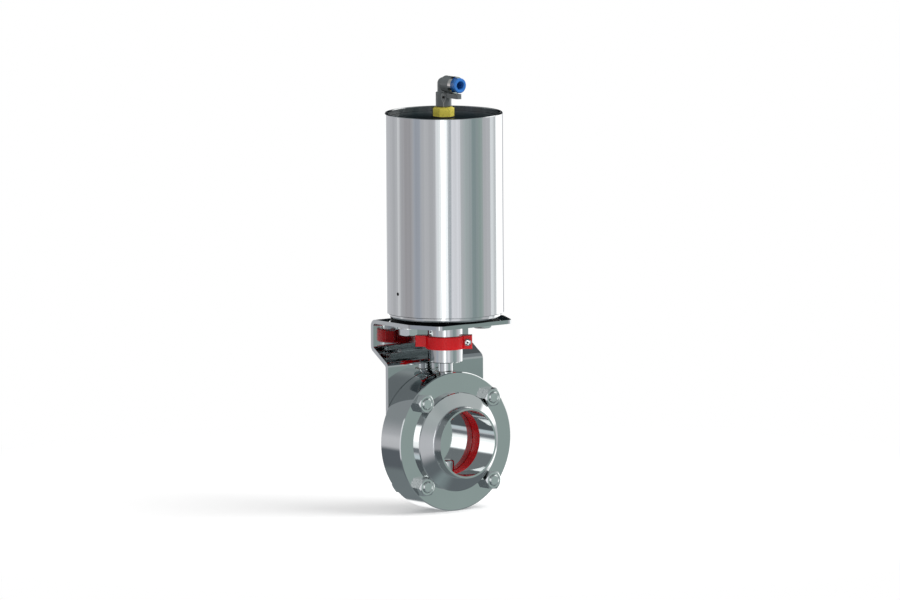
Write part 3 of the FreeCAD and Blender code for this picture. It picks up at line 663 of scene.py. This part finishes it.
def add_panel(tree, behind, azimuth, elevation, panel):
    """Lay one soft-edged panel over what is behind it."""
    middle, half_width, low, high, soft, tall, colour = panel
    away = tree.math("ABSOLUTE", tree.wrap(tree.math("SUBTRACT", azimuth, middle)))
    mask = tree.fade(away, half_width + soft / 2, half_width - soft / 2)
    mask = tree.math("MULTIPLY", mask, tree.fade(elevation, low - tall / 2, low + tall / 2))
    mask = tree.math("MULTIPLY", mask, tree.fade(elevation, high + tall / 2, high - tall / 2))
    return tree.lay_over(behind, (*colour, 1), mask)


def add_world():
    """White backdrop, even light on matt surfaces, and the studio in the metal."""
    world = bpy.data.worlds.new("studio")
    bpy.context.scene.world = world
    world.use_nodes = True
    tree = Nodes(world.node_tree)
    turned = tree.add("ShaderNodeVectorRotate", rotation_type="Z_AXIS")
    turned.inputs["Angle"].default_value = math.radians(-CAMERA_AZIMUTH)
    tree.link(tree.add("ShaderNodeTexCoord").outputs["Generated"], turned.inputs["Vector"])
    x, y, z = tree.split(turned.outputs[0])
    to_camera = tree.math("MULTIPLY", y, -1.0)
    azimuth = tree.math("DEGREES", tree.math("ARCTAN2", x, to_camera))
    elevation = tree.math("DEGREES", tree.math("ARCSINE", z))
    wall = tree.add("ShaderNodeRGB")
    wall.outputs[0].default_value = (*WALL, 1)
    light = wall.outputs[0]
    for panel in PANELS.values():
        light = add_panel(tree, light, azimuth, elevation, panel)
    studio = tree.add("ShaderNodeBackground", Strength=STUDIO_STRENGTH)
    tree.link(light, studio.inputs["Color"])
    ray = tree.add("ShaderNodeLightPath").outputs
    unseen = tree.blend(ray["Is Glossy Ray"], tree.background(ROOM_LIGHT), studio.outputs[0])
    seen = tree.blend(ray["Is Camera Ray"], unseen, tree.background(BACKDROP))
    tree.finish("ShaderNodeOutputWorld", seen)


def add_floor():
    """Paper that glows a little to the camera, so that it is as white as the backdrop when lit."""
    bpy.ops.mesh.primitive_circle_add(
        vertices=FLOOR_SIDES, radius=FLOOR_R, fill_type="NGON", location=(0, 0, -FLOOR_DROP)
    )
    floor = bpy.context.object
    floor.name = "floor"
    tree = new_material("floor")
    paper = tree.add("ShaderNodeBsdfDiffuse", Color=grey(PAPER)).outputs[0]
    lit = tree.add("ShaderNodeAddShader")
    tree.link(paper, lit.inputs[0])
    tree.link(tree.glow(PAPER_GLOW), lit.inputs[1])
    distance = tree.add("ShaderNodeVectorMath", operation="LENGTH")
    tree.link(tree.place(), distance.inputs[0])
    faded = tree.fade(distance.outputs["Value"], *FLOOR_FADE)
    open_floor = tree.blend(faded, lit.outputs[0], tree.glow(BACKDROP))
    ray = tree.add("ShaderNodeLightPath").outputs
    shown = tree.blend(ray["Is Camera Ray"], paper, open_floor)
    tree.finish("ShaderNodeOutputMaterial", shown)
    floor.data.materials.append(MATERIALS["floor"])
    floor.visible_glossy = False


def add_key_lamp():
    """Soft lamp aimed at the valve, which the metal doesn't show."""
    way = way_to(CAMERA_AZIMUTH + KEY_AZIMUTH, KEY_ELEVATION)
    data = bpy.data.lights.new("key", "AREA")
    data.shape = "DISK"
    data.size = KEY_SIZE
    data.energy = KEY_WATTS
    lamp = add_object("key", data)
    lamp.location = way * KEY_DISTANCE + AXIS_Z * KEY_TARGET_Z
    lamp.rotation_euler = way.to_track_quat("Z", "Y").to_euler()
    lamp.visible_glossy = False


add_camera()
make_materials()
dress_nodes()
add_world()
add_floor()
add_indicator_screw()
add_return_spring()
add_elbow_details()
add_key_lamp()
bpy.context.scene.view_settings.view_transform = "Standard"
